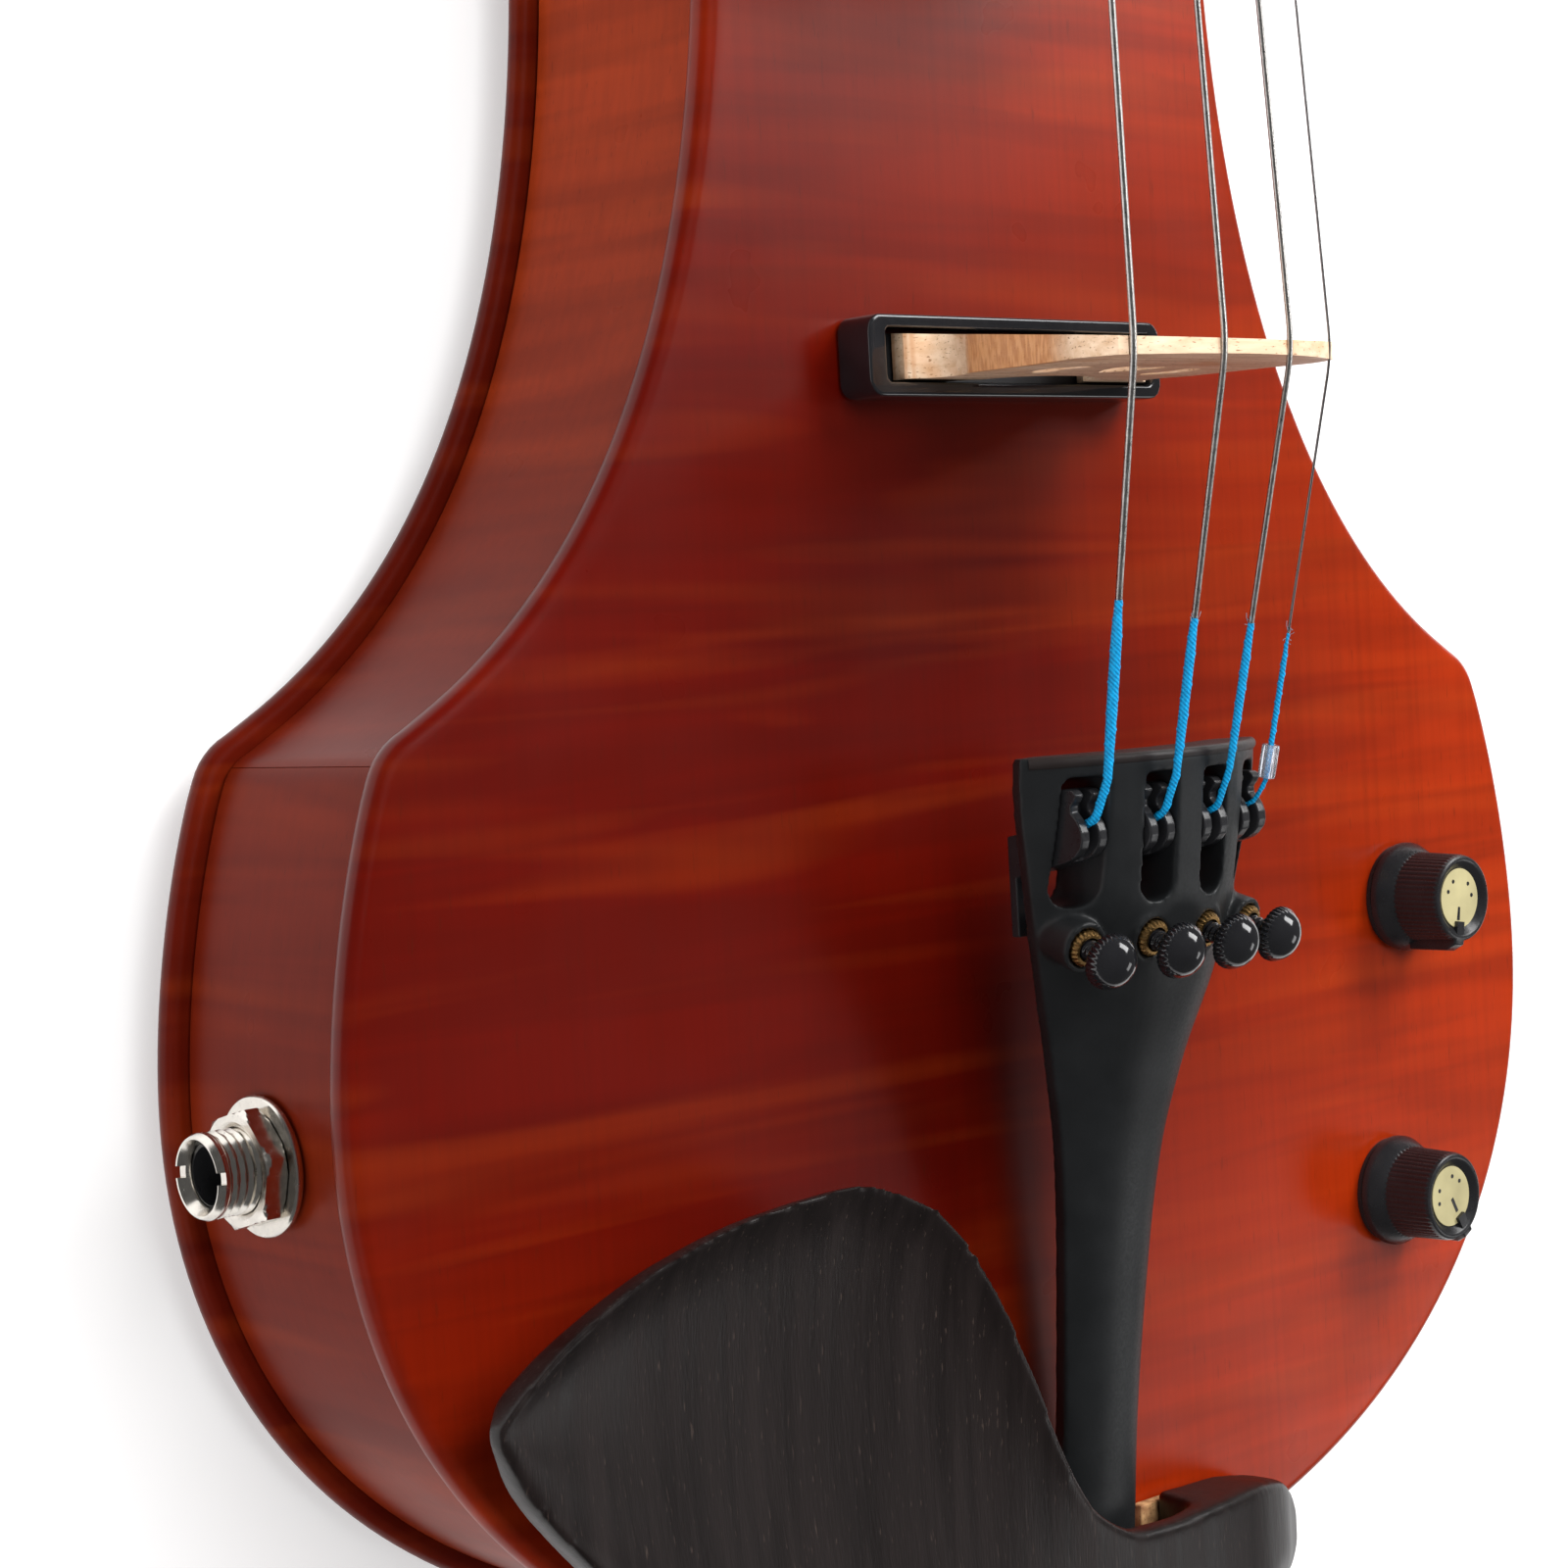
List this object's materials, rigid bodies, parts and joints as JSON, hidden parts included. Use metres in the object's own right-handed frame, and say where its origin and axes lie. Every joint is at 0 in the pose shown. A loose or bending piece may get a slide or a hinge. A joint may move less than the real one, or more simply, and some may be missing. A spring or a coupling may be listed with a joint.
{
  "type": "electric violin",
  "caption": "Semi-hollow electric violin lying on its back, with tuners on the tailpiece, a side chinrest, volume and tone knobs and an output socket in the rib.",
  "frame": {"origin": "on the flat land of the back, under the bridge and on the centre line", "axes": "+X to the treble side, +Y towards the scroll, +Z out of the top plate"},
  "size_m": [0.2089, 0.5924, 0.0861],
  "materials": {
    "lacquered_maple": "red-brown lacquer over flamed maple, satin gloss",
    "plain_maple": "oiled maple",
    "bridge_maple": "unfinished maple, satin",
    "ebony": "oiled ebony with fine open pores",
    "black_composite": "fine matte moulded composite",
    "black_plastic": "satin-gloss moulded plastic",
    "black_metal": "glossy black plated metal",
    "brass": "bare brass",
    "nickel": "bright nickel plate",
    "steel": "wound steel",
    "cork": "pressed cork",
    "clear_plastic": "clear flexible sleeve",
    "black_cord": "smooth tail cord",
    "ceramic": "ceramic strip in a matte black case"
  },
  "bodies": {
    "violin": {"back_plate": "lacquered_maple", "bass_lower_corner_block": "plain_maple", "bass_lower_rib": "lacquered_maple", "bass_upper_corner_block": "plain_maple", "bass_upper_rib": "lacquered_maple", "bass_waist_rib": "lacquered_maple", "bridge": "bridge_maple", "bridge_frame": "black_plastic", "bridge_pickup": "ceramic", "chinrest": "ebony", "chinrest_bracket": "nickel", "chinrest_cork": "cork", "end_block": "plain_maple", "end_button": "ebony", "fingerboard": "ebony", "jack_nut": "nickel", "jack_socket": "nickel", "jack_washer": "nickel", "neck": "plain_maple", "neck_block": "plain_maple", "nut": "ebony", "saddle": "ebony", "string_a": "steel", "string_d": "steel", "string_e": "steel", "string_g": "steel", "string_sleeve_e": "clear_plastic", "tailgut": "black_cord", "tailpiece": "black_composite", "tone_pot": "nickel", "top_plate": "lacquered_maple", "treble_lower_corner_block": "plain_maple", "treble_lower_rib": "lacquered_maple", "treble_upper_corner_block": "plain_maple", "treble_upper_rib": "lacquered_maple", "treble_waist_rib": "lacquered_maple", "tuner_insert_a": "brass", "tuner_insert_d": "brass", "tuner_insert_e": "brass", "tuner_insert_g": "brass", "volume_pot": "nickel"},
    "peg_g": {"peg_g": "ebony"},
    "tuner_screw_g": {"tuner_screw_g": "black_metal"},
    "tuner_lever_g": {"tuner_lever_g": "black_metal"},
    "peg_d": {"peg_d": "ebony"},
    "tuner_screw_d": {"tuner_screw_d": "black_metal"},
    "tuner_lever_d": {"tuner_lever_d": "black_metal"},
    "peg_a": {"peg_a": "ebony"},
    "tuner_screw_a": {"tuner_screw_a": "black_metal"},
    "tuner_lever_a": {"tuner_lever_a": "black_metal"},
    "peg_e": {"peg_e": "ebony"},
    "tuner_screw_e": {"tuner_screw_e": "black_metal"},
    "tuner_lever_e": {"tuner_lever_e": "black_metal"},
    "volume_control": {"volume_knob": "black_plastic", "volume_shaft": "nickel"},
    "tone_control": {"tone_knob": "black_plastic", "tone_shaft": "nickel"},
    "chinrest_barrel_bass": {"chinrest_barrel_bass": "nickel"},
    "chinrest_barrel_treble": {"chinrest_barrel_treble": "nickel"},
    "chinrest_hook": {"chinrest_hook": "nickel"}
  },
  "joints": [
    {"name": "peg_g_turn", "type": "hinge", "parent": "violin", "child": "peg_g", "pos_m": [0.014, 0.343, 0.05174], "axis": [-1, 0, 0], "continuous": true},
    {"name": "peg_d_turn", "type": "hinge", "parent": "violin", "child": "peg_d", "pos_m": [0.014, 0.371, 0.04154], "axis": [-1, 0, 0], "continuous": true},
    {"name": "peg_a_turn", "type": "hinge", "parent": "violin", "child": "peg_a", "pos_m": [-0.014, 0.385, 0.03796], "axis": [1, 0, 0], "continuous": true},
    {"name": "peg_e_turn", "type": "hinge", "parent": "violin", "child": "peg_e", "pos_m": [-0.014, 0.357, 0.04678], "axis": [1, 0, 0], "continuous": true},
    {"name": "tuner_screw_g_turn", "type": "hinge", "parent": "violin", "child": "tuner_screw_g", "pos_m": [-0.01368, -0.066, 0.06335], "axis": [0.1249, 0.2901, -0.9488], "range_deg": [0, 1080]},
    {"name": "tuner_lever_g_tilt", "type": "hinge", "parent": "violin", "child": "tuner_lever_g", "pos_m": [-0.0141, -0.056, 0.06211], "axis": [1, 0, 0], "range_deg": [0, 4]},
    {"name": "tuner_screw_d_turn", "type": "hinge", "parent": "violin", "child": "tuner_screw_d", "pos_m": [-0.00456, -0.066, 0.06597], "axis": [0.0334, 0.2922, -0.9558], "range_deg": [0, 1080]},
    {"name": "tuner_lever_d_tilt", "type": "hinge", "parent": "violin", "child": "tuner_lever_d", "pos_m": [-0.0047, -0.056, 0.06423], "axis": [1, 0, 0], "range_deg": [0, 4]},
    {"name": "tuner_screw_a_turn", "type": "hinge", "parent": "violin", "child": "tuner_screw_a", "pos_m": [0.00456, -0.066, 0.06597], "axis": [-0.0334, 0.2922, -0.9558], "range_deg": [0, 1080]},
    {"name": "tuner_lever_a_tilt", "type": "hinge", "parent": "violin", "child": "tuner_lever_a", "pos_m": [0.0047, -0.056, 0.06423], "axis": [1, 0, 0], "range_deg": [0, 4]},
    {"name": "tuner_screw_e_turn", "type": "hinge", "parent": "violin", "child": "tuner_screw_e", "pos_m": [0.01368, -0.066, 0.06335], "axis": [-0.1249, 0.2901, -0.9488], "range_deg": [0, 1080]},
    {"name": "tuner_lever_e_tilt", "type": "hinge", "parent": "violin", "child": "tuner_lever_e", "pos_m": [0.0141, -0.056, 0.06211], "axis": [1, 0, 0], "range_deg": [0, 4]},
    {"name": "volume_control_turn", "type": "hinge", "parent": "violin", "child": "volume_control", "pos_m": [0.0738, -0.0705, 0.0445], "axis": [0, 0, 1], "range_deg": [-150, 150]},
    {"name": "tone_control_turn", "type": "hinge", "parent": "violin", "child": "tone_control", "pos_m": [0.0688, -0.1108, 0.0445], "axis": [0, 0, 1], "range_deg": [-150, 150]},
    {"name": "chinrest_barrel_bass_turn", "type": "hinge", "parent": "violin", "child": "chinrest_barrel_bass", "pos_m": [-0.019, -0.161, 0.026], "axis": [0, 0, 1], "range_deg": [0, 360]},
    {"name": "chinrest_barrel_treble_turn", "type": "hinge", "parent": "violin", "child": "chinrest_barrel_treble", "pos_m": [0.019, -0.161, 0.026], "axis": [0, 0, 1], "range_deg": [0, 360]},
    {"name": "chinrest_hook_lowering", "type": "slide", "parent": "violin", "child": "chinrest_hook", "axis": [0, 0, -1], "range_m": [0, 0.0014]}
  ],
  "couplings": [
    {"joint": "tuner_lever_g_tilt", "follows": "tuner_screw_g_turn", "ratio": 0.0037037},
    {"joint": "tuner_lever_d_tilt", "follows": "tuner_screw_d_turn", "ratio": 0.0037037},
    {"joint": "tuner_lever_a_tilt", "follows": "tuner_screw_a_turn", "ratio": 0.0037037},
    {"joint": "tuner_lever_e_tilt", "follows": "tuner_screw_e_turn", "ratio": 0.0037037},
    {"joint": "chinrest_barrel_treble_turn", "follows": "chinrest_hook_lowering", "rad_per_m": 4488},
    {"joint": "chinrest_barrel_bass_turn", "follows": "chinrest_hook_lowering", "rad_per_m": 4488}
  ]
}
